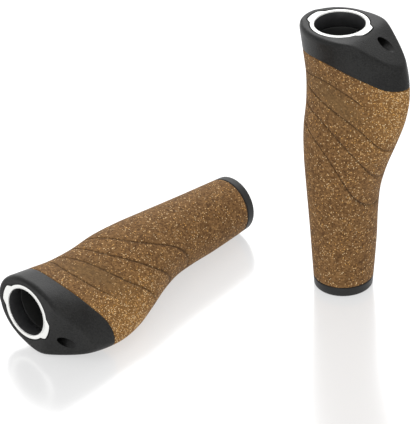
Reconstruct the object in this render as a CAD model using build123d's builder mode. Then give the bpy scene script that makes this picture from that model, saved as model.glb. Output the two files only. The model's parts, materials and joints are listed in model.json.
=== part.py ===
from build123d import *
import math
import os

# A pair of palm-wing bar end grips, in millimetres. One grip stands on its inner end, the other lies beside
# it. Each grip is made in its own frame: +Z runs along the handlebar bore, from the inner end at 0 to the
# clamp face, and +X points to the palm wing. The right hand grip has its palm side at -Y and its finger side
# at +Y, and the left hand grip is its mirror image.

# Handlebar bore and the tube around it
grip_length = 135.0
bore_radius = 11.15
sleeve_wall = 1.2
bond_gap = 0.05

# Outer form at even steps of the grip's length: share of it, how far the back and the wing stand out from the
# sleeve, and how much the finger side of the wing is scooped
stations = [
    (0.0, 1.25, 1.15, 0.00),
    (0.1, 2.00, 2.50, 0.00),
    (0.2, 2.70, 3.60, 0.00),
    (0.3, 3.45, 4.30, 0.03),
    (0.4, 4.35, 6.10, 0.10),
    (0.5, 5.35, 10.30, 0.17),
    (0.6, 5.65, 15.90, 0.20),
    (0.7, 4.50, 20.95, 0.20),
    (0.8, 4.40, 23.30, 0.20),
    (0.9, 5.60, 21.50, 0.16),
    (1.0, 6.65, 15.15, 0.10),
]
tip_sharpness = 0.37
outline_steps = 12

# Inner end ring
end_ring_length = 4.8

# Seam between cork and housing, in the XZ plane: place across the grip and depth below the clamp face
seam = [(-45.0, 19.0), (-18.0, 13.8), (0.0, 12.4), (20.0, 18.0), (30.0, 22.2), (37.0, 22.9), (45.0, 22.7)]

# Clamp ring: an annulus with two opposite lobes, which reach deeper than the annulus
ring_wall = 2.1
ring_depth = 7.8
lobe_height = 1.75
lobe_angle = 45.0
lobe_depth = 10.6
ring_chamfer = 0.25

# Clamp screw, a flat-point set screw across the wing side lobe, and its tunnel in the housing. It is turned
# from the wing towards the finger side by some degrees
screw_radius = 2.5
screw_length = 6.0
screw_thread_gap = 0.05
screw_setback = 0.25
screw_below_face = 5.0
screw_turn = 4.0
screw_chamfer = 0.4
hex_across_flats = 2.5
hex_depth = 2.6
tunnel_gap = 0.1

# End housing: flat face around the ring, then a slope down to the wing
face_land = 0.5
slope_angle = 34.0

# Wing stiffener of the sleeve: share of the grip's length, then reach past the sleeve
stiffener = [(0.49, 0.0), (0.65, 13.0), (0.80, 16.0), (0.83, 0.0)]
stiffener_thickness = 3.0

# Grip lines in the cork: place across the grip and depth below the clamp face, on both faces alike
grip_lines = [
    [(-24.0, 26.5), (-3.0, 22.7), (12.0, 26.7), (23.5, 34.2)],
    [(-24.0, 26.0), (-3.0, 33.5), (13.0, 40.4), (23.0, 48.5), (32.0, 64.0)],
    [(-24.0, 37.0), (-3.0, 43.0), (10.0, 51.2), (18.5, 61.5), (23.0, 78.0)],
    [(-24.0, 44.0), (-2.0, 55.4), (8.0, 66.5), (14.0, 80.5), (20.0, 92.0)],
]
line_width = 0.8
line_depth = 0.6

# Where the two grips are: foot of the standing one, and inner end of the lying one
standing_x = 64.68
standing_y = -0.65
standing_wing_heading = -36.5
lying_x = 15.78
lying_y = 49.95
lying_heading = 224.67
lying_tilt = 2.12
lying_wing_dip = 20.4

# Worked out from the values above
sleeve_radius = bore_radius + sleeve_wall
ring_radius = bore_radius + ring_wall
lobe_radius = ring_radius + lobe_height
tunnel_radius = screw_radius + tunnel_gap
sleeve_top = grip_length - ring_depth
screw_height = grip_length - screw_below_face
slope_start = lobe_radius + face_land
far = 2.0 * max(station[2] for station in stations) + sleeve_radius


def half_outline(back, reach, scoop):
    """Half the outline of one section, from the rounded wing tip round to the back."""
    back_radius = sleeve_radius + back
    tip_reach = sleeve_radius + max(reach, back)
    tip_radius = back_radius - tip_sharpness * (tip_reach - back_radius)
    points = []
    for step in range(outline_steps + 1):
        angle = math.pi * step / outline_steps
        blend = (1.0 + math.cos(angle)) / 2.0
        radius = back_radius + (tip_radius - back_radius) * blend
        centre = (tip_reach - tip_radius) * blend
        height = radius * math.sin(angle) * (1.0 - scoop * blend)
        points.append((centre + radius * math.cos(angle), height))
    return points


def add_outer_form(inset=0.0):
    """The whole grip as one smooth solid, inside the open BuildPart block."""
    sections = []
    for share, back, reach, scoop in stations:
        palm_side = [(across, -height) for across, height in half_outline(back - inset, reach - inset, 0.0)]
        finger_side = half_outline(back - inset, reach - inset, scoop)
        with BuildSketch(Plane.XY.offset(share * grip_length)) as section:
            with BuildLine():
                Spline(*palm_side, tangents=[(0.0, -1.0), (0.0, 1.0)])
                Spline(*finger_side, tangents=[(0.0, 1.0), (0.0, -1.0)])
            make_face()
        sections.append(section.sketch.face())
    loft(sections)


def below_face(places, gap=0.0):
    """Points of the XZ plane from places across the grip and depths below the clamp face, less a gap."""
    return [(across, grip_length - depth - gap) for across, depth in places]


def stiffener_profile(root):
    """Outline of the wing stiffener in the XZ plane, from a radius outwards."""
    return Polyline(*[(root + reach, share * grip_length) for share, reach in stiffener], close=True)


def cut_bore(radius, low, high):
    """A round hole along the bore axis between two heights."""
    with BuildSketch(Plane.XY.offset(low)) as hole:
        Circle(radius)
    extrude(hole.sketch, amount=high - low, mode=Mode.SUBTRACT)


def add_lobes(radius, depth, spread, mode):
    """Two opposite sectors under the clamp face, one of them towards the wing."""
    half_angle = math.radians(lobe_angle / 2.0)
    side = spread + radius * math.sin(half_angle)
    with BuildSketch(Plane.XY.offset(grip_length - depth)) as lobes:
        Circle(radius)
        with BuildSketch(mode=Mode.INTERSECT):
            Rectangle(2.0 * radius, 2.0 * side)
        Circle(sleeve_radius + bond_gap, mode=Mode.SUBTRACT)
    extrude(lobes.sketch, amount=depth, mode=mode)


def make_sleeve():
    """Nylon tube that slides on the handlebar, with a stiff rib inside the palm wing."""
    with BuildPart() as sleeve:
        with BuildSketch(Plane.XZ):
            with BuildLine():
                stiffener_profile(sleeve_radius - sleeve_wall / 2.0)
            make_face()
        extrude(amount=stiffener_thickness / 2.0, both=True)
        with BuildSketch(Plane.XY.offset(end_ring_length)):
            Circle(sleeve_radius)
        extrude(amount=sleeve_top - end_ring_length)
        cut_bore(bore_radius, end_ring_length, sleeve_top)
    return sleeve


def make_end_ring():
    """Hard ring that closes the inner end, flush with the cork."""
    with BuildPart() as end_ring:
        add_outer_form()
        split(bisect_by=Plane.XY.offset(end_ring_length), keep=Keep.BOTTOM)
        cut_bore(bore_radius, 0.0, end_ring_length)
    return end_ring


def make_cork():
    """Soft cork rubber cover between the end ring and the housing, with four grip lines."""
    with BuildPart() as line_core:
        add_outer_form(inset=line_depth)
    with BuildPart() as lines:
        for points in grip_lines:
            with BuildSketch(Plane.XZ):
                with BuildLine() as path:
                    Spline(*below_face(points))
                trace(path.line, line_width=line_width)
            extrude(amount=far, both=True)
        add(line_core.part, mode=Mode.SUBTRACT)
    with BuildPart() as cork:
        add_outer_form()
        split(bisect_by=Plane.XY.offset(end_ring_length + bond_gap), keep=Keep.TOP)
        with BuildSketch(Plane.XZ):
            with BuildLine():
                edge = Spline(*below_face(seam, bond_gap))
                Polyline(edge @ 1, (seam[-1][0], 0.0), (seam[0][0], 0.0), edge @ 0)
            make_face()
        extrude(amount=far, both=True, mode=Mode.INTERSECT)
        cut_bore(sleeve_radius + bond_gap, 0.0, grip_length)
        add(lines.part, mode=Mode.SUBTRACT)
        with BuildSketch(Plane.XZ):
            with BuildLine():
                stiffener_profile(sleeve_radius)
            make_face()
            offset(amount=bond_gap)
        extrude(amount=stiffener_thickness / 2.0 + bond_gap, both=True, mode=Mode.SUBTRACT)
    return cork


def slope_depth(across):
    """Depth of the slope below the clamp face at a place across the grip."""
    return max(0.0, math.tan(math.radians(slope_angle)) * (across - slope_start))


def screw_plane(distance):
    """Plane square to the screw, at a distance from the bore axis."""
    turn = math.radians(screw_turn)
    along = Vector(math.cos(turn), math.sin(turn), 0.0)
    return Plane(origin=(0.0, 0.0, screw_height), x_dir=(-along.Y, along.X, 0.0), z_dir=along).offset(distance)


def make_housing():
    """Moulded end housing that holds the clamp ring, with the screw tunnel in its wing side slope."""
    outer_end = seam[-1][0]
    with BuildPart() as housing:
        add_outer_form()
        with BuildSketch(Plane.XZ):
            with BuildLine():
                edge = Spline(*below_face(seam))
                Polyline(
                    edge @ 1,
                    (outer_end, grip_length - slope_depth(outer_end)),
                    (slope_start, grip_length),
                    (seam[0][0], grip_length),
                    edge @ 0,
                )
            make_face()
        extrude(amount=far, both=True, mode=Mode.INTERSECT)
        cut_bore(sleeve_radius + bond_gap, 0.0, sleeve_top)
        cut_bore(ring_radius + bond_gap, sleeve_top, grip_length)
        add_lobes(lobe_radius + bond_gap, lobe_depth + bond_gap, bond_gap, Mode.SUBTRACT)
        with BuildSketch(screw_plane(bore_radius)):
            Circle(tunnel_radius)
        extrude(amount=far, mode=Mode.SUBTRACT)
    return housing


def make_clamp_ring():
    """Aluminium ring at the clamp face, tapped through one lobe for the clamp screw."""
    with BuildPart() as ring:
        with BuildSketch(Plane.XY.offset(sleeve_top)):
            Circle(ring_radius)
        extrude(amount=ring_depth)
        add_lobes(lobe_radius, lobe_depth, 0.0, Mode.ADD)
        cut_bore(bore_radius, sleeve_top, grip_length)
        mouth = ring.edges().filter_by(GeomType.CIRCLE).group_by(Axis.Z)[-1].sort_by(SortBy.RADIUS)[0]
        chamfer(mouth, ring_chamfer)
        with BuildSketch(screw_plane(0.0)):
            Circle(screw_radius)
        extrude(amount=far, mode=Mode.SUBTRACT)
    return ring


def make_screw():
    """Set screw with a hexagon socket, pressing on the handlebar through the clamp ring."""
    tip = bore_radius + screw_setback
    with BuildPart() as screw:
        with BuildSketch(screw_plane(tip)):
            Circle(screw_radius - screw_thread_gap)
        extrude(amount=screw_length)
        chamfer(screw.edges().filter_by(GeomType.CIRCLE), screw_chamfer)
        with BuildSketch(screw_plane(tip + screw_length)):
            RegularPolygon(hex_across_flats / 2.0, 6, major_radius=False)
        extrude(amount=-hex_depth, mode=Mode.SUBTRACT)
    return screw


def heading_vector(heading, tilt):
    """Unit vector from a compass heading in the XY plane and a tilt above it, in degrees."""
    flat = math.cos(math.radians(tilt))
    across = math.radians(heading)
    return Vector(flat * math.cos(across), flat * math.sin(across), math.sin(math.radians(tilt)))


def place_standing():
    """Frame of the grip that stands on its inner end."""
    wing = heading_vector(standing_wing_heading, 0.0)
    return Plane(origin=(standing_x, standing_y, 0.0), x_dir=wing, z_dir=(0.0, 0.0, 1.0))


def place_lying(pieces):
    """Frame of the grip that lies on its wing tip, housing and inner end, lowered to the floor."""
    along = heading_vector(lying_heading, lying_tilt)
    level = heading_vector(lying_heading + 90.0, 0.0)
    upward = along.cross(level)
    dip = math.radians(lying_wing_dip)
    wing = level * math.cos(dip) - upward * math.sin(dip)
    above = Plane(origin=(lying_x, lying_y, 0.0), x_dir=wing, z_dir=along)
    mirrored = [mirror(piece.part, about=Plane.XZ) for piece in pieces]
    lowest = min(solid.moved(above.location).bounding_box().min.Z for solid in mirrored)
    return Plane(origin=(lying_x, lying_y, -lowest), x_dir=wing, z_dir=along)


def save(piece, side, name, frame):
    """Write one piece at its place in the pair, mirrored for the left hand."""
    with BuildPart() as handed:
        add(piece.part)
        if side == "left":
            mirror(about=Plane.XZ, mode=Mode.REPLACE)
    with BuildPart() as placed:
        with Locations(frame.location):
            add(handed.part)
    placed.part.label = side + "_" + name
    export_step(placed.part, "parts/" + placed.part.label + ".step")


os.makedirs("parts", exist_ok=True)
grip = {
    "core_sleeve": make_sleeve(),
    "inner_end_ring": make_end_ring(),
    "cork_cover": make_cork(),
    "end_housing": make_housing(),
    "clamp_ring": make_clamp_ring(),
    "clamp_screw": make_screw(),
}
frames = {
    "right": place_standing(),
    "left": place_lying([grip["inner_end_ring"], grip["cork_cover"], grip["end_housing"]]),
}
for side, frame in frames.items():
    print(side, "inner end at", frame.origin, "bore along", frame.z_dir, "wing along", frame.x_dir)
    for name, piece in grip.items():
        save(piece, side, name, frame)
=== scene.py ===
import json
import math

import bpy
import numpy as np
from mathutils import Matrix, Vector


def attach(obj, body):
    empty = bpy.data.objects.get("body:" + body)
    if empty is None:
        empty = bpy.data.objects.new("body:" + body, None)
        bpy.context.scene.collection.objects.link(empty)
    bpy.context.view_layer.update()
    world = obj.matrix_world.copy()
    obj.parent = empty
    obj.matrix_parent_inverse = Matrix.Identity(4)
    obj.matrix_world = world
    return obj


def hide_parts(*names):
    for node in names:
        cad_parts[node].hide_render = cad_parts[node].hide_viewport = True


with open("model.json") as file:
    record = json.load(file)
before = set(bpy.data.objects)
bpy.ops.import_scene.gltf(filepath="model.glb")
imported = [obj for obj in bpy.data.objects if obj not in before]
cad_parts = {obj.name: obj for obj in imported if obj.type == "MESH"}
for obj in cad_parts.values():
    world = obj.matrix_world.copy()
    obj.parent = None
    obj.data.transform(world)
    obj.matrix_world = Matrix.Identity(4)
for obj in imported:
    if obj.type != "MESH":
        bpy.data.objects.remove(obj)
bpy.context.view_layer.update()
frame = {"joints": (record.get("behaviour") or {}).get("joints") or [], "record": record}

mm = 0.001
print("frame loaded")


# Where each grip is: bore axis from its mount, wing direction from its screw's joint
placement = {
    "boreMiddle": 67.35,    # mm from the inner end to the mount's point
    "screwTurn": math.radians(4.0),    # from the wing to the screw, towards the finger side
}

mounts = {mount["name"]: mount for mount in frame["record"]["mounts"]}
joints = {joint["name"]: joint for joint in frame["joints"]}


def gripFrame(side):
    bore = Vector(mounts[side + "_bar_bore"]["axis"]).normalized()
    screwWay = Vector(joints[side + "_screw_drive"]["axis"]).normalized()
    turnBack = -placement["screwTurn"] if side == "right" else placement["screwTurn"]
    wing = Matrix.Rotation(turnBack, 3, bore) @ screwWay
    across = bore.cross(wing).normalized()
    wing = across.cross(bore)
    foot = Vector(mounts[side + "_bar_bore"]["pos_m"]) - bore * placement["boreMiddle"] * mm
    turn = np.array([wing, across, bore]).T
    return turn, np.array(foot)


def toWorld(points, side):
    # the left grip is the mirror image of the right one
    local = np.array(points, float).reshape(-1, 3).copy()
    if side == "left":
        local[:, 1] *= -1.0
    turn, foot = gripFrame(side)
    return local @ turn.T * mm + foot


# Outer form of a grip, mm: stations at even steps of its length
form = {
    "length": 135.0,
    "bore": 11.15,
    "sleeve": 12.35,
    "back": [1.25, 2.0, 2.7, 3.45, 4.35, 5.35, 5.65, 4.5, 4.4, 5.6, 6.65],
    "reach": [1.15, 2.5, 3.6, 4.3, 6.1, 10.3, 15.9, 20.95, 23.3, 21.5, 15.15],
    "scoop": [0.0, 0.0, 0.0, 0.03, 0.1, 0.17, 0.2, 0.2, 0.2, 0.16, 0.1],
    "tipSharpness": 0.37,
    "columns": 320,
}

# Seam between cork and housing: place across the grip, depth below the clamp face
seam = {
    "across": [-45.0, -18.0, 0.0, 20.0, 30.0, 37.0, 45.0],
    "depth": [19.0, 13.8, 12.4, 18.0, 22.2, 22.9, 22.7],
    "gap": 0.12,
    "lip": 0.35,
}


def towardsScrew(points):
    # points given along the wing, turned about the bore to where the screw is
    c, s = math.cos(placement["screwTurn"]), math.sin(placement["screwTurn"])
    return np.asarray(points, float) @ np.array([[c, s, 0.0], [-s, c, 0.0], [0.0, 0.0, 1.0]])


def smoothCurve(places, values, at):
    # cubic through the points with slopes from their neighbours
    places = np.array(places, float)
    values = np.array(values, float)
    slopes = np.gradient(values, places)
    at = np.clip(at, places[0], places[-1])
    k = np.clip(np.searchsorted(places, at, side="right") - 1, 0, len(places) - 2)
    span = places[k + 1] - places[k]
    t = (at - places[k]) / span
    return (values[k] * (2 * t**3 - 3 * t**2 + 1) + slopes[k] * span * (t**3 - 2 * t**2 + t)
            + values[k + 1] * (3 * t**2 - 2 * t**3) + slopes[k + 1] * span * (t**3 - t**2))


def outerForm(height, turn):
    # turn 0 is the wing tip, then comes the palm side, the back and the finger side
    steps = np.linspace(0.0, form["length"], len(form["back"]))
    back = form["sleeve"] + smoothCurve(steps, form["back"], height)
    reach = np.maximum(form["sleeve"] + smoothCurve(steps, form["reach"], height), back)
    scoop = smoothCurve(steps, form["scoop"], height)
    tip = back - form["tipSharpness"] * (reach - back)
    blend = (1.0 + np.cos(turn)) / 2.0
    radius = back + (tip - back) * blend
    x = (reach - tip) * blend + radius * np.cos(turn)
    y = -radius * np.sin(turn)
    y = np.where(np.sin(turn) < 0.0, y * (1.0 - scoop * blend), y)
    return x, y


def seamHeight(x):
    return form["length"] - smoothCurve(seam["across"], seam["depth"], x)


def seamAlong(turn):
    height = np.full_like(turn, form["length"] - 15.0)
    for _ in range(40):
        x, y = outerForm(height, turn)
        height = 0.5 * height + 0.5 * seamHeight(x)
    return height


turns = np.linspace(0.0, 2.0 * math.pi, form["columns"], endpoint=False)


def gridNormals(grid):
    along = np.gradient(grid, axis=0)
    around = np.roll(grid, -1, axis=1) - np.roll(grid, 1, axis=1)
    normal = np.cross(around, along)
    normal /= np.linalg.norm(normal, axis=2)[..., None] + 1e-12
    outward = np.sign((normal * grid * (1.0, 1.0, 0.0)).sum(axis=2).mean())
    return normal * outward


def tubePiece(name, rows, side, body, cadNode, materials, slotOfRow=None, attributes=None):
    # rows are closed outlines with as many points each, and the last row joins the first
    grid = np.stack([np.stack([np.broadcast_to(part, turns.shape) for part in row], axis=1) for row in rows])
    count, columns = grid.shape[:2]
    index = np.arange(count * columns).reshape(count, columns)
    nextRow = np.roll(index, -1, axis=0)
    faces = np.stack([index, np.roll(index, -1, axis=1), np.roll(nextRow, -1, axis=1), nextRow], axis=2)
    faces = faces.reshape(-1, 4)
    if side == "left":
        faces = faces[:, ::-1]
    piece = meshPiece(name, toWorld(grid, side), faces)
    for material in materials:
        piece.data.materials.append(material)
    if slotOfRow is not None:
        piece.data.polygons.foreach_set("material_index", np.repeat(slotOfRow, columns).astype(np.int32))
    for label, values in (attributes or {}).items():
        layer = piece.data.attributes.new(label, "FLOAT", "POINT")
        layer.data.foreach_set("value", np.asarray(values, np.float32).reshape(-1))
    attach(piece, body)
    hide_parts(cadNode)
    return piece


def meshPiece(name, points, faces):
    mesh = bpy.data.meshes.new(name)
    mesh.from_pydata([tuple(point) for point in points], [], [tuple(int(i) for i in face) for face in faces])
    mesh.update()
    mesh.polygons.foreach_set("use_smooth", np.ones(len(mesh.polygons), bool))
    piece = bpy.data.objects.new(name, mesh)
    bpy.context.scene.collection.objects.link(piece)
    return piece


def toLinear(hexColour):
    channels = [int(hexColour[i:i + 2], 16) / 255.0 for i in (1, 3, 5)]
    linear = [c / 12.92 if c <= 0.04045 else ((c + 0.055) / 1.055) ** 2.4 for c in channels]
    return (*linear, 1.0)


def addNode(tree, kind, links=None, values=None, **settings):
    node = tree.nodes.new(kind)
    for key, value in settings.items():
        setattr(node, key, value)
    for socket, value in (values or {}).items():
        node.inputs[socket].default_value = value
    for socket, source in (links or {}).items():
        tree.links.new(source, node.inputs[socket])
    return node


def newMaterial(name):
    material = bpy.data.materials.new(name)
    material.use_nodes = True
    tree = material.node_tree
    shader = tree.nodes["Principled BSDF"]
    # object coordinates in millimetres
    place = addNode(tree, "ShaderNodeTexCoord")
    inMm = addNode(tree, "ShaderNodeVectorMath", {0: place.outputs["Object"]}, {1: (1000.0,) * 3},
                   operation="MULTIPLY")
    return material, tree, shader, inMm.outputs["Vector"]


def wire(tree, source, shader, socket):
    tree.links.new(source, shader.inputs[socket])


corkSettings = {
    "granule": 0.8,           # mm across a cork granule
    "grain": 0.55,            # mm, fine crumbs between the granules
    "fleck": 0.56,            # mm across a golden fleck, drawn a little coarse so that it shows
    "patch": 9.0,             # mm across a lighter or darker patch
    "matrixDark": "#4f3317",
    "matrixLight": "#8b673e",
    "matrixGolden": "#9d713a",
    "bark": "#432c15",
    "gold": "#e0a34a",
    "cream": "#f6dcae",
    "plain": "#725a38",
    # painted shade and dirt: the colour darkening the bottom of each grip line
    "lineShadeAndDirt": "#2a1a09",
    "patchShare": 0.4,        # how much the patches change the tone
    "goldenTint": 0.35,       # how golden the ground is at the wing tip
    "barkCells": 0.12,        # share of the granules that are bark
    "barkStrength": 0.45,
    "fleckShare": 0.13,       # share of the small cells that are flecks
    "fleckShareGolden": 0.4,  # added to it at the wing tip
    "fleckStrength": 0.9,
    "plainWithout": 0.75,     # share of the flecks that the plain band lacks
    "plainTint": 0.45,
    "lineShadeTint": 0.75,
    "relief": 0.12,           # mm
    "reliefStrength": 0.35,
    "sheen": 0.06,
}


def corkRubber():
    # granulated cork in rubber, moulded: a matt brown skin full of golden and dark granules
    c = corkSettings
    material, tree, shader, inMm = newMaterial("corkRubberMoulded")
    gold = addNode(tree, "ShaderNodeAttribute", attribute_name="golden").outputs["Fac"]
    plain = addNode(tree, "ShaderNodeAttribute", attribute_name="plain").outputs["Fac"]
    line = addNode(tree, "ShaderNodeAttribute", attribute_name="gripLine").outputs["Fac"]
    patch = addNode(tree, "ShaderNodeTexNoise", {"Vector": inMm},
                    {"Scale": 1.0 / c["patch"], "Detail": 4.0, "Roughness": 0.6})
    grain = addNode(tree, "ShaderNodeTexNoise", {"Vector": inMm},
                    {"Scale": 1.0 / c["grain"], "Detail": 3.0, "Roughness": 0.65})
    granules = addNode(tree, "ShaderNodeTexVoronoi", {"Vector": inMm}, {"Scale": 1.0 / c["granule"]})
    granuleTone = addNode(tree, "ShaderNodeSeparateColor", {"Color": granules.outputs["Color"]})
    tone = addNode(tree, "ShaderNodeMath", {0: grain.outputs["Fac"], 1: granuleTone.outputs["Red"]},
                   operation="ADD")
    tone = addNode(tree, "ShaderNodeMath", {0: patch.outputs["Fac"], 2: tone.outputs[0]},
                   {1: c["patchShare"]}, operation="MULTIPLY_ADD")
    tone = addNode(tree, "ShaderNodeMapRange", {"Value": tone.outputs[0]},
                   {"From Min": 0.55, "From Max": 1.75, "To Min": 0.0, "To Max": 1.0})
    matrix = addNode(tree, "ShaderNodeMix", {0: tone.outputs[0]},
                     {6: toLinear(c["matrixDark"]), 7: toLinear(c["matrixLight"])}, data_type="RGBA")
    goldMix = addNode(tree, "ShaderNodeMath", {0: gold}, {1: c["goldenTint"]}, operation="MULTIPLY")
    matrix = addNode(tree, "ShaderNodeMix", {0: goldMix.outputs[0], 6: matrix.outputs[2]},
                     {7: toLinear(c["matrixGolden"])}, data_type="RGBA")
    # dark bark granules: the cells with the lowest numbers
    bark = addNode(tree, "ShaderNodeMapRange", {"Value": granuleTone.outputs["Green"]},
                   {"From Min": c["barkCells"], "From Max": c["barkCells"] / 3.0, "To Min": 0.0,
                    "To Max": c["barkStrength"]})
    withBark = addNode(tree, "ShaderNodeMix", {0: bark.outputs[0], 6: matrix.outputs[2]},
                       {7: toLinear(c["bark"])}, data_type="RGBA")
    # golden flecks: small cells, more of them towards the wing tip and fewer in the plain band
    flecks = addNode(tree, "ShaderNodeTexVoronoi", {"Vector": inMm}, {"Scale": 1.0 / c["fleck"]})
    fleckTone = addNode(tree, "ShaderNodeSeparateColor", {"Color": flecks.outputs["Color"]})
    amount = addNode(tree, "ShaderNodeMath", {0: gold}, {1: c["fleckShareGolden"], 2: c["fleckShare"]},
                     operation="MULTIPLY_ADD")
    patchAmount = addNode(tree, "ShaderNodeMath", {0: patch.outputs["Fac"]}, {1: 0.20, 2: -0.08},
                          operation="MULTIPLY_ADD")
    amount = addNode(tree, "ShaderNodeMath", {0: amount.outputs[0], 1: patchAmount.outputs[0]},
                     operation="ADD")
    keep = addNode(tree, "ShaderNodeMath", {0: plain}, {1: -c["plainWithout"], 2: 1.0},
                   operation="MULTIPLY_ADD")
    amount = addNode(tree, "ShaderNodeMath", {0: amount.outputs[0], 1: keep.outputs[0]}, operation="MULTIPLY")
    chosen = addNode(tree, "ShaderNodeMath", {0: fleckTone.outputs["Blue"], 1: amount.outputs[0]},
                     operation="LESS_THAN")
    core = addNode(tree, "ShaderNodeMapRange", {"Value": flecks.outputs["Distance"]},
                   {"From Min": 0.52, "From Max": 0.30, "To Min": 0.0, "To Max": 1.0})
    fleckMask = addNode(tree, "ShaderNodeMath", {0: chosen.outputs[0], 1: core.outputs[0]},
                        operation="MULTIPLY")
    fleckMask = addNode(tree, "ShaderNodeMath", {0: fleckMask.outputs[0]}, {1: c["fleckStrength"]},
                        operation="MULTIPLY")
    fleckColour = addNode(tree, "ShaderNodeMix", {0: fleckTone.outputs["Red"]},
                          {6: toLinear(c["gold"]), 7: toLinear(c["cream"])}, data_type="RGBA")
    flecked = addNode(tree, "ShaderNodeMix",
                      {0: fleckMask.outputs[0], 6: withBark.outputs[2], 7: fleckColour.outputs[2]},
                      data_type="RGBA")
    # the plain band near the housing is smoother and more olive
    plainMix = addNode(tree, "ShaderNodeMath", {0: plain}, {1: c["plainTint"]}, operation="MULTIPLY")
    banded = addNode(tree, "ShaderNodeMix", {0: plainMix.outputs[0], 6: flecked.outputs[2]},
                     {7: toLinear(c["plain"])}, data_type="RGBA")
    # the grip lines darkened with painted shade and dirt, strongest at the bottom of each groove
    lineMix = addNode(tree, "ShaderNodeMath", {0: line}, {1: c["lineShadeTint"]}, operation="MULTIPLY")
    final = addNode(tree, "ShaderNodeMix", {0: lineMix.outputs[0], 6: banded.outputs[2]},
                    {7: toLinear(c["lineShadeAndDirt"])}, data_type="RGBA")
    wire(tree, final.outputs[2], shader, "Base Color")
    rough = addNode(tree, "ShaderNodeMapRange", {"Value": grain.outputs["Fac"]},
                    {"From Min": 0.3, "From Max": 0.7, "To Min": 0.7, "To Max": 0.9})
    wire(tree, rough.outputs[0], shader, "Roughness")
    relief = addNode(tree, "ShaderNodeMath", {0: granules.outputs["Distance"], 1: grain.outputs["Fac"]},
                     operation="ADD")
    bump = addNode(tree, "ShaderNodeBump", {"Height": relief.outputs[0]},
                   {"Strength": c["reliefStrength"], "Distance": c["relief"] * mm})
    wire(tree, bump.outputs[0], shader, "Normal")
    shader.inputs["IOR"].default_value = 1.45
    shader.inputs["Specular IOR Level"].default_value = 0.25
    shader.inputs["Sheen Weight"].default_value = c["sheen"]
    shader.inputs["Sheen Roughness"].default_value = 0.5
    shader.inputs["Sheen Tint"].default_value = toLinear("#cfc4b4")
    return material


housingSettings = {
    "colour": "#0a0a09",
    "worn": "#242423",
    "grain": 0.7,             # mm, spark-eroded grain of the mould, drawn coarse so that it shows
    "flow": 14.0,             # mm, faint flow marks
    "wornStrength": 0.8,
    "roughness": (0.34, 0.48),
    "relief": 0.1,            # mm
    "reliefStrength": 0.8,
    "gloss": 0.26,
}


def mouldedPolymer():
    # ABS moulded in a spark-eroded tool: even black with a fine matt grain and soft broad highlights
    c = housingSettings
    material, tree, shader, inMm = newMaterial("absMouldedMatt")
    grain = addNode(tree, "ShaderNodeTexNoise", {"Vector": inMm},
                    {"Scale": 1.0 / c["grain"], "Detail": 2.0, "Roughness": 0.5})
    flow = addNode(tree, "ShaderNodeTexNoise", {"Vector": inMm},
                   {"Scale": 1.0 / c["flow"], "Detail": 3.0, "Roughness": 0.55})
    mottle = addNode(tree, "ShaderNodeMath", {0: grain.outputs["Fac"], 1: flow.outputs["Fac"]},
                     operation="ADD")
    blend = addNode(tree, "ShaderNodeMapRange", {"Value": mottle.outputs[0]},
                    {"From Min": 0.85, "From Max": 1.2, "To Min": 0.0, "To Max": c["wornStrength"]})
    colour = addNode(tree, "ShaderNodeMix", {0: blend.outputs[0]},
                     {6: toLinear(c["colour"]), 7: toLinear(c["worn"])}, data_type="RGBA")
    wire(tree, colour.outputs[2], shader, "Base Color")
    rough = addNode(tree, "ShaderNodeMapRange", {"Value": flow.outputs["Fac"]},
                    {"From Min": 0.3, "From Max": 0.7,
                     "To Min": c["roughness"][0], "To Max": c["roughness"][1]})
    wire(tree, rough.outputs[0], shader, "Roughness")
    bump = addNode(tree, "ShaderNodeBump", {"Height": grain.outputs["Fac"]},
                   {"Strength": c["reliefStrength"], "Distance": c["relief"] * mm})
    wire(tree, bump.outputs[0], shader, "Normal")
    shader.inputs["IOR"].default_value = 1.5
    shader.inputs["Specular IOR Level"].default_value = c["gloss"]
    return material


nylonSettings = {
    "colour": "#1b1b1a",
    "glassFibre": "#282827",
    "speckle": 0.4545,        # mm, glass fibres at the skin, drawn coarse so that they show
    "roughness": (0.36, 0.5),
    "gloss": 0.3,
}


def mouldedNylon():
    # glass-filled nylon, moulded: a slightly greyer black than the housing, with a fine speckle
    c = nylonSettings
    material, tree, shader, inMm = newMaterial("nylonMoulded")
    speckle = addNode(tree, "ShaderNodeTexNoise", {"Vector": inMm},
                      {"Scale": 1.0 / c["speckle"], "Detail": 3.0, "Roughness": 0.6})
    blend = addNode(tree, "ShaderNodeMapRange", {"Value": speckle.outputs["Fac"]},
                    {"From Min": 0.45, "From Max": 0.75, "To Min": 0.0, "To Max": 0.5})
    colour = addNode(tree, "ShaderNodeMix", {0: blend.outputs[0]},
                     {6: toLinear(c["colour"]), 7: toLinear(c["glassFibre"])}, data_type="RGBA")
    wire(tree, colour.outputs[2], shader, "Base Color")
    rough = addNode(tree, "ShaderNodeMapRange", {"Value": speckle.outputs["Fac"]},
                    {"From Min": 0.3, "From Max": 0.7,
                     "To Min": c["roughness"][0], "To Max": c["roughness"][1]})
    wire(tree, rough.outputs[0], shader, "Roughness")
    bump = addNode(tree, "ShaderNodeBump", {"Height": speckle.outputs["Fac"]},
                   {"Strength": 0.25, "Distance": 0.00004})
    wire(tree, bump.outputs[0], shader, "Normal")
    shader.inputs["IOR"].default_value = 1.53
    shader.inputs["Specular IOR Level"].default_value = c["gloss"]
    return material


faceSettings = {
    "dull": "#f4f4f1",
    "bright": "#fbfbf8",
    "marks": 0.3333,          # mm, marks of the blasting, drawn coarse so that they show
    "relief": 0.02,           # mm
    "metallic": 0.9,
}


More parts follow.
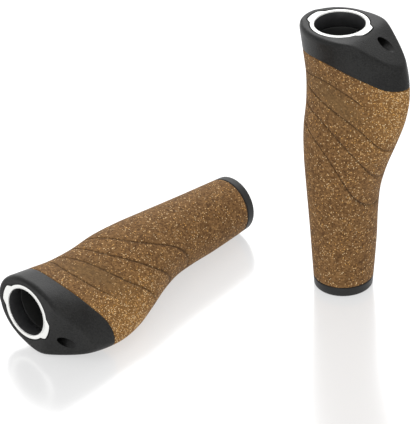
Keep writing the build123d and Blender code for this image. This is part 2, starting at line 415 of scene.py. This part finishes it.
def machinedAluminium():
    # aluminium faced on a lathe and blasted: bright, almost white, with a faint uneven sheen
    c = faceSettings
    material, tree, shader, inMm = newMaterial("aluminiumTurned")
    marks = addNode(tree, "ShaderNodeTexNoise", {"Vector": inMm},
                    {"Scale": 1.0 / c["marks"], "Detail": 5.0, "Roughness": 0.7})
    colour = addNode(tree, "ShaderNodeMix", {0: marks.outputs["Fac"]},
                     {6: toLinear(c["dull"]), 7: toLinear(c["bright"])}, data_type="RGBA")
    wire(tree, colour.outputs[2], shader, "Base Color")
    rough = addNode(tree, "ShaderNodeMapRange", {"Value": marks.outputs["Fac"]},
                    {"From Min": 0.3, "From Max": 0.7, "To Min": 0.36, "To Max": 0.46})
    wire(tree, rough.outputs[0], shader, "Roughness")
    bump = addNode(tree, "ShaderNodeBump", {"Height": marks.outputs["Fac"]},
                   {"Strength": 0.15, "Distance": c["relief"] * mm})
    wire(tree, bump.outputs[0], shader, "Normal")
    shader.inputs["Metallic"].default_value = c["metallic"]
    return material


anodisedSettings = {
    "colour": "#353536",
    "thin": "#525253",
    "cloud": 2.0,             # mm, uneven dye
    "metallic": 0.35,
}


def anodisedAluminium():
    # aluminium, turned and black anodised: a satin dark grey
    c = anodisedSettings
    material, tree, shader, inMm = newMaterial("aluminiumAnodised")
    stain = addNode(tree, "ShaderNodeTexNoise", {"Vector": inMm},
                    {"Scale": 1.0 / c["cloud"], "Detail": 4.0, "Roughness": 0.6})
    colour = addNode(tree, "ShaderNodeMix", {0: stain.outputs["Fac"]},
                     {6: toLinear(c["colour"]), 7: toLinear(c["thin"])}, data_type="RGBA")
    wire(tree, colour.outputs[2], shader, "Base Color")
    rough = addNode(tree, "ShaderNodeMapRange", {"Value": stain.outputs["Fac"]},
                    {"From Min": 0.3, "From Max": 0.7, "To Min": 0.3, "To Max": 0.42})
    wire(tree, rough.outputs[0], shader, "Roughness")
    shader.inputs["Metallic"].default_value = c["metallic"]
    return material


steelSettings = {
    "oxide": "#2b2c2f",
    "rubbed": "#4a4a4b",
    "stain": 0.8333,          # mm, uneven oxide
}


def blackOxideSteel():
    # alloy steel screw, black oxide finish: dark, faintly blue, with an oily sheen
    c = steelSettings
    material, tree, shader, inMm = newMaterial("steelBlackOxide")
    stain = addNode(tree, "ShaderNodeTexNoise", {"Vector": inMm},
                    {"Scale": 1.0 / c["stain"], "Detail": 4.0, "Roughness": 0.6})
    colour = addNode(tree, "ShaderNodeMix", {0: stain.outputs["Fac"]},
                     {6: toLinear(c["oxide"]), 7: toLinear(c["rubbed"])}, data_type="RGBA")
    wire(tree, colour.outputs[2], shader, "Base Color")
    rough = addNode(tree, "ShaderNodeMapRange", {"Value": stain.outputs["Fac"]},
                    {"From Min": 0.3, "From Max": 0.7, "To Min": 0.3, "To Max": 0.5})
    wire(tree, rough.outputs[0], shader, "Roughness")
    shader.inputs["Metallic"].default_value = 1.0
    return material


cork = corkRubber()
polymer = mouldedPolymer()
nylon = mouldedNylon()
brightAluminium = machinedAluminium()
blackAluminium = anodisedAluminium()
blackSteel = blackOxideSteel()
print("materials made")


# Cork cover: the outer form from the end ring to the seam, with four grip lines on each side
corkCover = {
    "foot": 4.8,
    "rows": 300,
    "innerRadius": 12.4,
    "lineHalfWidth": 0.55,
    "lineDepth": 0.5,
    "lineFade": 0.2,          # share of a line over which it fades out
    "lines": [
        ([-24.0, -3.0, 12.0, 23.5], [108.5, 112.3, 108.3, 100.8]),
        ([-24.0, -3.0, 13.0, 23.0, 32.0], [109.0, 101.5, 94.6, 86.5, 71.0]),
        ([-24.0, -3.0, 10.0, 18.5, 23.0], [98.0, 92.0, 83.8, 73.5, 57.0]),
        ([-24.0, -2.0, 8.0, 14.0, 20.0], [91.0, 79.6, 68.5, 54.5, 43.0]),
    ],
    "goldenAcross": (12.0, 32.0),    # the cork turns golden from the first place to the second
    "goldenHeight": (60.0, 90.0),
    "plainHeight": 106.0,            # middle of the plain band at the bore axis
    "plainFall": 0.45,
    "plainWidth": 7.0,
    "plainMiddle": 6.0,
    "plainReach": 18.0,
}


def ramp(values, ends):
    return np.clip((values - ends[0]) / (ends[1] - ends[0]), 0.0, 1.0)


def lineNearness(x, z):
    # 1 at the bottom of a grip line and 0 from its edges outwards, fading out over its last part
    nearness = np.zeros_like(x)
    for across, heights in corkCover["lines"]:
        places = np.linspace(0.0, 1.0, len(across))
        steps = np.linspace(0.0, 1.0, 160)
        pathX = smoothCurve(places, across, steps)
        pathZ = smoothCurve(places, heights, steps)
        for k in range(len(steps) - 1):
            dx, dz = pathX[k + 1] - pathX[k], pathZ[k + 1] - pathZ[k]
            along = np.clip(((x - pathX[k]) * dx + (z - pathZ[k]) * dz) / (dx * dx + dz * dz), 0.0, 1.0)
            distance = np.hypot(x - pathX[k] - along * dx, z - pathZ[k] - along * dz)
            strength = min(1.0, (1.0 - steps[k]) / corkCover["lineFade"])
            nearness = np.maximum(nearness, (1.0 - distance / corkCover["lineHalfWidth"]) * strength)
    return np.clip(nearness, 0.0, 1.0)


def rolledEdge(share, length, lip):
    # how far the surface turns inwards near its two edges
    toEdge = np.minimum(share, 1.0 - share) * length
    return lip * np.clip(1.0 - toEdge / (1.6 * lip), 0.0, 1.0) ** 2


def makeCork(side):
    c = corkCover
    top = seamAlong(turns) - seam["gap"]
    share = np.linspace(0.0, 1.0, c["rows"])
    share = np.concatenate([[0.0, 0.0012, 0.003], share[1:-1], [0.997, 0.9988, 1.0]])[:, None]
    foot = c["foot"] + seam["gap"]
    height = foot + share * (top[None] - foot)
    x, y = outerForm(height, np.broadcast_to(turns, height.shape))
    grid = np.stack([x, y, height], axis=2)
    normal = gridNormals(grid)
    nearness = lineNearness(x, height)
    sink = c["lineDepth"] * nearness + rolledEdge(share, top[None] - foot, seam["lip"])
    grid = grid - normal * sink[..., None]
    rows = [(row[:, 0], row[:, 1], row[:, 2]) for row in grid]
    inner = c["innerRadius"]
    innerX, innerY = inner * np.cos(turns), -inner * np.sin(turns)
    rows.append((innerX, innerY, seamHeight(innerX) - seam["gap"] - 0.2))
    rows.append((innerX, innerY, np.full_like(turns, foot + 0.2)))
    golden = ramp(x, c["goldenAcross"]) * ramp(height, c["goldenHeight"])
    fromBand = (height - (c["plainHeight"] - c["plainFall"] * x)) / c["plainWidth"]
    band = np.exp(-fromBand ** 2) * np.clip(1.2 - np.abs(x - c["plainMiddle"]) / c["plainReach"], 0.0, 1.0)
    pad = np.zeros((2, len(turns)))
    attributes = {
        "gripLine": np.vstack([nearness ** 0.7, pad]),
        "golden": np.vstack([golden, pad]),
        "plain": np.vstack([band, pad]),
    }
    return tubePiece(side + "Cork", rows, side, "grips", side + "_cork_cover", [cork],
                     attributes=attributes)


# End housing: flank from the seam up, rounded over onto the flat face and the slope, then the ring's pocket
housing = {
    "slopeStart": 15.5,
    "slopeAngle": 34.0,
    "slopeBlend": 1.1,
    "backRounding": 3.4,
    "wingRounding": 1.5,
    "flankRows": 60,
    "capRows": 60,
    "pocketRadius": 13.55,
    "lobeRadius": 15.3,
    "seat": 127.2,
    "innerRadius": 12.4,
    "tunnelRadius": 2.6,
    "tunnelHeight": 130.0,
    "rim": 0.3,               # rounding of the tunnel's and the pocket's edges
    "pocketLip": 0.25,
    "wingFrom": -12.0,        # across the grip, from where the rounding turns into the wing's
    "wingOver": 26.0,
}

ring = {
    "radius": 13.25,
    "lobeRadius": 15.0,
    "lobeHalfAngle": 21.5,
    "lobeSide": 11.0,         # degrees that a lobe's sloping side takes
    "bottom": 127.2,
    "lobeBottom": 124.4,
    "chamfer": 0.3,
    "mouth": 0.2,             # how much wider the ring's bore is than the sleeve's
    "edge": 0.18,
    "tapped": 2.5,            # radius of the screw's hole
}


def capHeight(x):
    h = housing
    past = (x - h["slopeStart"]) / h["slopeBlend"]
    soft = h["slopeBlend"] * np.logaddexp(0.0, past)
    return form["length"] - math.tan(math.radians(h["slopeAngle"])) * soft


def lobed(angle, plainRadius, lobeRadius, grow=0.0):
    # radius of a ring with two opposite lobes, in the direction of an angle
    fromLobe = np.degrees(np.abs(np.arcsin(np.sin(angle))))
    full = ring["lobeHalfAngle"] - ring["lobeSide"] / 2.0 + grow
    rise = np.clip((full + ring["lobeSide"] - fromLobe) / ring["lobeSide"], 0.0, 1.0)
    return plainRadius + (lobeRadius - plainRadius) * rise


def crestAlong(turn):
    # height where the flank meets the cap
    height = np.full_like(turn, form["length"] - 4.0)
    for _ in range(60):
        x, y = outerForm(height, turn)
        height = 0.5 * height + 0.5 * capHeight(x)
    return height


def makeHousing(side):
    h = housing
    foot = seamAlong(turns)
    crest = crestAlong(turns)
    crestX, crestY = outerForm(crest, turns)
    bearing = np.arctan2(crestY, crestX)
    pocket = lobed(bearing, h["pocketRadius"], h["lobeRadius"], 0.6)
    pocketX, pocketY = pocket * np.cos(bearing), pocket * np.sin(bearing)
    width = np.hypot(crestX - pocketX, crestY - pocketY)
    toWing = ramp(crestX, (h["wingFrom"], h["wingFrom"] + h["wingOver"]))
    toWing = toWing * toWing * (3.0 - 2.0 * toWing)
    rounding = h["backRounding"] + (h["wingRounding"] - h["backRounding"]) * toWing
    roundUp = np.minimum(rounding, 0.45 * (crest - foot))
    roundIn = np.minimum(rounding, 0.6 * width) / width

    def flankPoint(height):
        x, y = outerForm(height, turns)
        return np.stack([x, y, height], axis=1)

    def capPoint(share):
        x = crestX + (pocketX - crestX) * share
        y = crestY + (pocketY - crestY) * share
        return np.stack([x, y, capHeight(x)], axis=1)

    rows = []
    for share in np.linspace(0.0, 1.0, h["flankRows"]):
        height = foot + (crest - roundUp - foot) * share
        point = flankPoint(height)
        inwards = rolledEdge(np.array(share / 2.0), 2.0 * (crest - roundUp - foot), seam["lip"])
        point[:, :2] *= (1.0 - inwards / np.hypot(point[:, 0], point[:, 1]))[:, None]
        rows.append(point)
    start, corner, end = flankPoint(crest - roundUp), flankPoint(crest), capPoint(roundIn)
    for t in np.linspace(0.0, 1.0, 14)[1:-1]:
        rows.append((1 - t) ** 2 * start + 2 * t * (1 - t) * corner + t * t * end)
    for t in np.linspace(0.0, 1.0, h["capRows"]):
        rows.append(capPoint(roundIn + (1.0 - roundIn) * t))
    lip = h["pocketLip"]
    last = rows[-1].copy()
    rows[-1] = capPoint(1.0 - lip / width)
    rows.append(np.stack([last[:, 0], last[:, 1], last[:, 2] - lip], axis=1))
    rows.append(np.stack([pocketX, pocketY, np.full_like(turns, h["seat"])], axis=1))
    inner = h["innerRadius"]
    innerX, innerY = inner * np.cos(bearing), inner * np.sin(bearing)
    rows.append(np.stack([innerX, innerY, np.full_like(turns, h["seat"])], axis=1))
    rows.append(np.stack([innerX, innerY, seamHeight(innerX)], axis=1))
    piece = tubePiece(side + "Housing", [(row[:, 0], row[:, 1], row[:, 2]) for row in rows], side, "grips",
                      side + "_end_housing", [polymer])
    cutRound(piece, side, h["tunnelRadius"], h["tunnelHeight"], form["bore"] + 1.0, 45.0)
    rim = piece.modifiers.new("rim", "BEVEL")
    rim.width = h["rim"] * mm
    rim.segments = 2
    rim.limit_method = "ANGLE"
    rim.angle_limit = math.radians(38.0)


def combine(piece, tool, operation):
    change = piece.modifiers.new("combine", "BOOLEAN")
    change.operation = operation
    change.solver = "EXACT"
    change.object = tool
    bpy.context.view_layer.update()
    mesh = bpy.data.meshes.new_from_object(piece.evaluated_get(bpy.context.evaluated_depsgraph_get()))
    piece.modifiers.clear()
    piece.data = mesh
    bpy.data.objects.remove(tool)


def cutRound(piece, side, radius, height, near, far):
    # the screw's round hole, square to the bore
    cutter = roundBar(radius, near, far, height, 48)
    tool = meshPiece(piece.name + "Cutter", toWorld(towardsScrew(cutter[0]), side),
                     [face if side == "right" else face[::-1] for face in cutter[1]])
    combine(piece, tool, "DIFFERENCE")


def roundBar(radius, near, far, height, count):
    angles = np.linspace(0.0, 2.0 * math.pi, count, endpoint=False)
    points = [(x, radius * math.cos(a), height + radius * math.sin(a)) for x in (near, far) for a in angles]
    sides = [(i, (i + 1) % count, count + (i + 1) % count, count + i) for i in range(count)]
    return np.array(points), sides + [tuple(range(count))[::-1], tuple(range(count, 2 * count))]


def makeClampRing(side):
    r = ring
    radius = lobed(turns, r["radius"], r["lobeRadius"])
    bottom = np.where(radius > (r["radius"] + r["lobeRadius"]) / 2.0, r["lobeBottom"], r["bottom"])
    top = form["length"]
    bore = form["bore"]
    inner = form["sleeve"] + 0.05

    def circle(radii, height):
        return radii * np.cos(turns), -radii * np.sin(turns), height + np.zeros_like(turns)

    rows = [circle(bore + r["mouth"], r["bottom"] + 0.25), circle(bore + 0.45, r["bottom"]),
            circle(inner, r["bottom"]), circle(inner, bottom), circle(radius - 0.1, bottom),
            circle(radius, bottom + 0.1), circle(radius, top - r["edge"]),
            circle(radius - 0.3 * r["edge"], top - 0.3 * r["edge"]), circle(radius - r["edge"], top),
            circle(bore + 0.4, top), circle(bore + 0.37, top - 0.1), circle(bore + 0.3, top - 0.1),
            circle(bore + r["mouth"], top - r["chamfer"])]
    # 0 is a bright face and 1 a black one, for the strip from each row to the next
    slots = [1, 1, 1, 1, 1, 1, 0, 0, 0, 1, 1, 0, 1]
    piece = tubePiece(side + "ClampRing", rows, side, "grips", side + "_clamp_ring",
                      [brightAluminium, blackAluminium], slotOfRow=slots)
    cutRound(piece, side, r["tapped"], housing["tunnelHeight"], form["bore"] / 2.0, 20.0)


# Inner end ring
endRing = {
    "height": 4.8,
    "rounding": 1.0,
    "chamfer": 0.4,
    "lip": 0.25,
}


def makeEndRing(side):
    e = endRing
    rows = []

    def outer(height, inset):
        x, y = outerForm(np.full_like(turns, max(height, 0.0)), turns)
        keep = 1.0 - inset / np.hypot(x, y)
        return x * keep, y * keep, np.full_like(turns, height)

    for angle in np.radians(np.linspace(0.0, 90.0, 8)):
        rows.append(outer(e["rounding"] * (1.0 - math.sin(angle)), e["rounding"] * (1.0 - math.cos(angle))))
    rows = rows[::-1]
    for height in (2.0, 3.0, 4.0, e["height"] - e["lip"]):
        rows.append(outer(height, 0.0))
    rows.append(outer(e["height"], e["lip"]))
    bore = form["bore"]
    for radius, height in ((bore, e["height"]), (bore, e["chamfer"]), (bore + e["chamfer"], 0.0)):
        rows.append((radius * np.cos(turns), -radius * np.sin(turns), np.full_like(turns, height)))
    return tubePiece(side + "EndRing", rows, side, "grips", side + "_inner_end_ring", [nylon])


# Core sleeve: a tube with a chamfered mouth, and the stiff rib inside the wing
sleeveTube = {
    "foot": 4.8,
    "top": 127.2,
    "chamfer": 0.2,
    "ribThickness": 3.0,
    "ribReach": [0.0, 13.0, 16.0, 0.0],
    "ribShare": [0.49, 0.65, 0.80, 0.83],
}


def makeSleeve(side):
    t = sleeveTube
    bore, outer = form["bore"], form["sleeve"]
    section = [(outer, t["foot"]), (outer, t["top"]), (bore + t["chamfer"], t["top"]),
               (bore, t["top"] - t["chamfer"]), (bore, t["foot"])]
    rows = [(radius * np.cos(turns), -radius * np.sin(turns), np.full_like(turns, height))
            for radius, height in section]
    piece = tubePiece(side + "Sleeve", rows, side, "grips", side + "_core_sleeve", [nylon])
    root = (bore + outer) / 2.0
    half = t["ribThickness"] / 2.0
    profile = [(root + reach, share * form["length"]) for reach, share in zip(t["ribReach"], t["ribShare"])]
    count = len(profile)
    points = [(x, y, z) for y in (-half, half) for x, z in profile]
    faces = [(i, (i + 1) % count, count + (i + 1) % count, count + i) for i in range(count)]
    faces += [tuple(range(count))[::-1], tuple(range(count, 2 * count))]
    if side == "left":
        faces = [face[::-1] for face in faces]
    combine(piece, meshPiece(piece.name + "Rib", toWorld(points, side), faces), "UNION")


# Clamp screw: M5 set screw with a real thread and a hexagon socket
screw = {
    "radius": 2.45,
    "pitch": 0.8,
    "threadDepth": 0.42,
    "tip": 11.4,
    "length": 6.0,
    "socketFlats": 2.5,
    "socketDepth": 2.6,
    "tipRadius": 1.4,
    "dimpleRadius": 0.9,
    "dimpleDepth": 0.5,
    "endRadius": 1.75,
    "rowsPerTurn": 12,
    "height": 130.0,
    "columns": 48,
}


def makeScrew(side):
    s = screw
    angles = np.linspace(0.0, 2.0 * math.pi, s["columns"], endpoint=False)
    rows = []

    def outline(x, radii):
        return np.stack([np.full_like(angles, x) if np.isscalar(x) else x, radii * np.cos(angles),
                         s["height"] + radii * np.sin(angles)], axis=1)

    steps = int(s["length"] / s["pitch"] * s["rowsPerTurn"])
    rows.append(outline(s["tip"] + s["dimpleDepth"], s["dimpleRadius"] * np.ones_like(angles)))
    rows.append(outline(s["tip"], s["tipRadius"] * np.ones_like(angles)))
    for k in range(steps + 1):
        along = s["length"] * k / steps
        phase = (along / s["pitch"] - angles / (2.0 * math.pi)) % 1.0
        thread = s["radius"] - s["threadDepth"] * np.clip(2.4 * np.abs(phase - 0.5) - 0.2, 0.0, 1.0)
        end = min(along, s["length"] - along)
        rows.append(outline(s["tip"] + along, np.minimum(thread, s["endRadius"] + end * 1.1)))
    socket = s["socketFlats"] / 2.0 / np.cos((angles + math.pi / 6.0) % (math.pi / 3.0) - math.pi / 6.0)
    rows.append(outline(s["tip"] + s["length"], socket + 0.12))
    rows.append(outline(s["tip"] + s["length"] - 0.12, socket))
    rows.append(outline(s["tip"] + s["length"] - s["socketDepth"], socket))
    points = np.concatenate(rows + [[(s["tip"] + s["length"] - s["socketDepth"] - 0.5, 0.0, s["height"])],
                                    [(s["tip"] + 0.7, 0.0, s["height"])]])
    n = s["columns"]
    faces = [(r * n + i, r * n + (i + 1) % n, (r + 1) * n + (i + 1) % n, (r + 1) * n + i)
             for r in range(len(rows) - 1) for i in range(n)]
    faces += [((len(rows) - 1) * n + i, (len(rows) - 1) * n + (i + 1) % n, len(rows) * n) for i in range(n)]
    faces += [((i + 1) % n, i, len(rows) * n + 1) for i in range(n)]
    if side == "left":
        faces = [face[::-1] for face in faces]
    piece = meshPiece(side + "Screw", toWorld(towardsScrew(points), side), faces)
    piece.data.materials.append(blackSteel)
    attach(piece, side + "_screw")
    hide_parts(side + "_clamp_screw")
    return piece


for side in ("right", "left"):
    makeCork(side)
    makeHousing(side)
    makeClampRing(side)
    makeEndRing(side)
    makeSleeve(side)
    makeScrew(side)
    print(side, "grip made")


# Floor, light and camera
studio = {
    "floorSize": 6.0,         # m
    "floorColour": "#ffffff",
    "floorCloud": "#fbfbfb",
    "floorBase": "#8c8c8c",
    "floorGlow": 0.6,
    "floorRoughness": 0.2,
    "floorIor": 2.25,         # higher than acrylic's, for a clearer mirror image
    "roomFront": 0.85,
    "roomBack": 1.0,
    # place and aim in m, width and height in m, power in W
    "softBoxes": {
        "overhead": ((-0.3, 0.1, 1.5), (0.0, 0.0, 0.0), (1.6, 1.2), 3.0),
        "back": ((0.3, 1.3, 0.95), (0.0, 0.0, 0.05), (1.6, 0.8), 7.0),
        "front": ((-0.5, -1.3, 0.4), (-0.05, 0.0, 0.03), (0.9, 0.6), 2.0),
    },
}


def paleFloor():
    # white acrylic sheet, polished: pale, with a faint mirror image of what stands on it
    material, tree, shader, inMm = newMaterial("acrylicPolished")
    cloud = addNode(tree, "ShaderNodeTexNoise", {"Vector": inMm}, {"Scale": 0.004, "Detail": 2.0})
    colour = addNode(tree, "ShaderNodeMix", {0: cloud.outputs["Fac"]},
                     {6: toLinear(studio["floorCloud"]), 7: toLinear(studio["floorColour"])},
                     data_type="RGBA")
    wire(tree, colour.outputs[2], shader, "Emission Color")
    shader.inputs["Base Color"].default_value = toLinear(studio["floorBase"])
    shader.inputs["Emission Strength"].default_value = studio["floorGlow"]
    shader.inputs["Roughness"].default_value = studio["floorRoughness"]
    shader.inputs["IOR"].default_value = studio["floorIor"]
    half = studio["floorSize"] / 2.0
    corners = [(-half, -half, 0.0), (half, -half, 0.0), (half, half, 0.0), (-half, half, 0.0)]
    floor = meshPiece("floor", corners, [(0, 1, 2, 3)])
    floor.data.materials.append(material)


def softBox(name, place, aim, size, power):
    light = bpy.data.lights.new(name, "AREA")
    light.shape = "RECTANGLE"
    light.size, light.size_y = size
    light.energy = power
    lamp = bpy.data.objects.new(name, light)
    bpy.context.scene.collection.objects.link(lamp)
    lamp.location = place
    lamp.rotation_euler = (Vector(aim) - Vector(place)).to_track_quat("-Z", "Y").to_euler()


def whiteRoom():
    # white room, brightest behind and above
    world = bpy.data.worlds.new("room")
    bpy.context.scene.world = world
    world.use_nodes = True
    tree = world.node_tree
    direction = addNode(tree, "ShaderNodeTexCoord").outputs["Generated"]
    share = addNode(tree, "ShaderNodeVectorMath", {0: direction}, {1: (0.0, 0.6, 0.8)},
                    operation="DOT_PRODUCT")
    level = addNode(tree, "ShaderNodeMapRange", {"Value": share.outputs["Value"]},
                    {"From Min": -0.5, "From Max": 0.9,
                     "To Min": studio["roomFront"], "To Max": studio["roomBack"]})
    tree.links.new(level.outputs[0], tree.nodes["Background"].inputs["Strength"])
    tree.nodes["Background"].inputs["Color"].default_value = (1.0, 1.0, 1.0, 1.0)


camera = {
    "place": (2.57, -1161.0, 749.96),   # mm
    "down": 31.44,
    "roll": -2.41,
    "lens": 252.96,
}


def makeCamera():
    c = camera
    down, roll = math.radians(c["down"]), math.radians(c["roll"])
    ahead = Vector((0.0, math.cos(down), -math.sin(down)))
    level = Vector((1.0, 0.0, 0.0))
    above = level.cross(ahead)
    right = level * math.cos(roll) + above * math.sin(roll)
    up = above * math.cos(roll) - level * math.sin(roll)
    data = bpy.data.cameras.new("camera")
    data.lens = c["lens"]
    data.sensor_width = 36.0
    data.clip_start, data.clip_end = 0.05, 20.0
    body = bpy.data.objects.new("camera", data)
    bpy.context.scene.collection.objects.link(body)
    turn = Matrix((right, up, -ahead)).transposed().to_4x4()
    turn.translation = Vector(c["place"]) * mm
    body.matrix_world = turn
    bpy.context.scene.camera = body


paleFloor()
for name, (place, aim, size, power) in studio["softBoxes"].items():
    softBox(name, place, aim, size, power)
whiteRoom()
makeCamera()
print("studio made")
bpy.context.scene.view_settings.view_transform = "Standard"
